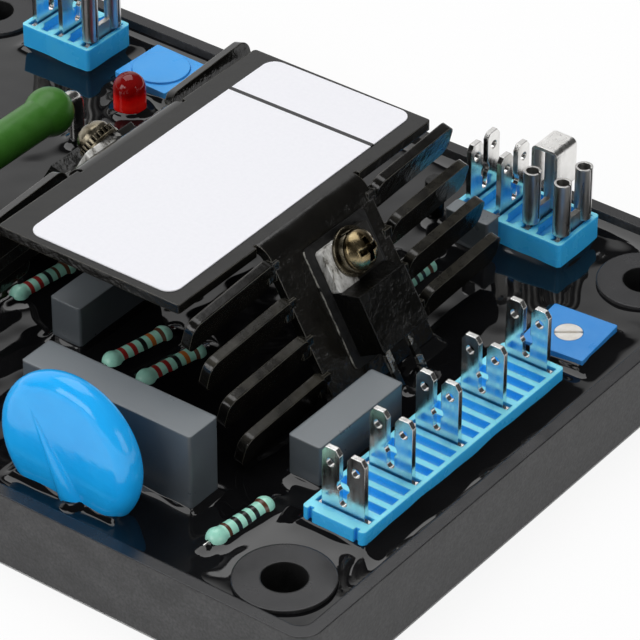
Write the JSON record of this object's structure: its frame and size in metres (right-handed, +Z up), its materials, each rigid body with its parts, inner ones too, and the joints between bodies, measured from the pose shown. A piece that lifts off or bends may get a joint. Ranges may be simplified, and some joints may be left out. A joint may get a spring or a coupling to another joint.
{
  "type": "automatic voltage regulator",
  "caption": "Potted generator voltage regulator in a moulded tray with corner fixing holes, a folded finger heat sink, blade terminal blocks and adjusting trimmers.",
  "frame": {"origin": "centre of the tray's bottom face", "axes": "+X along the tray's long side towards the long terminal strip, +Y along the short side towards the rear blocks, +Z up out of the potting"},
  "size_m": [0.1412, 0.1024, 0.0315],
  "materials": {
    "tray_plastic": "fine matt texture",
    "potting": "glossy",
    "sink_black": "glossy black",
    "label_white": "satin",
    "block_blue": "semi-gloss",
    "tin_plate": "bright tin",
    "trimmer_blue": "satin",
    "rotor_white": "matt",
    "lens_red": "clear gloss",
    "resistor_green": "satin enamel",
    "wire_tin": "tinned",
    "box_grey": "satin",
    "varistor_blue": "dipped coating",
    "moulded_black": "satin",
    "pad_grey": "matt",
    "device_metal": "bright plated",
    "screw_brass": "plated",
    "screw_nickel": "plated",
    "resistor_mint": "satin enamel"
  },
  "bodies": {
    "module": {"tray": "tray_plastic", "potting": "potting", "heat_sink": "sink_black", "label": "label_white", "strip_block": "block_blue", "rear_block": "block_blue", "corner_block": "block_blue", "socket_link": "tin_plate", "trimmer_front_body": "trimmer_blue", "trimmer_rear_body": "trimmer_blue", "indicator": "lens_red", "power_resistor": "resistor_green", "power_resistor_leads": "wire_tin", "capacitor_large": "box_grey", "capacitor_front": "box_grey", "capacitor_mid": "box_grey", "capacitor_rear": "box_grey", "varistor": "varistor_blue", "sleeve_component": "moulded_black", "resistor_leads": "wire_tin", "device_pad": "pad_grey", "device_tab": "device_metal", "device_body": "moulded_black", "device_legs": "wire_tin", "front_screw": "screw_brass", "front_washer": "screw_nickel", "front_flat_washer": "screw_nickel", "rear_device_pad": "pad_grey", "rear_device_tab": "device_metal", "rear_device_body": "moulded_black", "rear_device_legs": "wire_tin", "rear_screw": "screw_nickel", "rear_washer": "screw_nickel", "rear_flat_washer": "screw_nickel", "strip_terminal_1": "tin_plate", "strip_terminal_2": "tin_plate", "strip_terminal_3": "tin_plate", "strip_terminal_4": "tin_plate", "strip_terminal_5": "tin_plate", "rear_blade_1": "tin_plate", "rear_socket_1": "tin_plate", "corner_blade_1": "tin_plate", "rear_blade_2": "tin_plate", "rear_socket_2": "tin_plate", "corner_blade_2": "tin_plate", "corner_socket": "tin_plate", "resistor_1": "resistor_mint", "resistor_2": "resistor_mint", "resistor_3": "resistor_mint", "resistor_4": "resistor_mint", "resistor_5": "resistor_mint", "resistor_6": "resistor_mint"},
    "front_rotor": {"trimmer_front_rotor": "rotor_white"},
    "rear_dial": {"trimmer_rear_dial": "trimmer_blue"}
  },
  "joints": [
    {"name": "front_rotor_turn", "type": "hinge", "parent": "module", "child": "front_rotor", "pos_m": [0.059, 0.0226, 0.0111], "axis": [0, 0, 1], "range_deg": [-135, 135]},
    {"name": "rear_dial_turn", "type": "hinge", "parent": "module", "child": "rear_dial", "pos_m": [-0.027, 0.0415, 0.0111], "axis": [0, 0, 1], "range_deg": [-135, 135]}
  ]
}
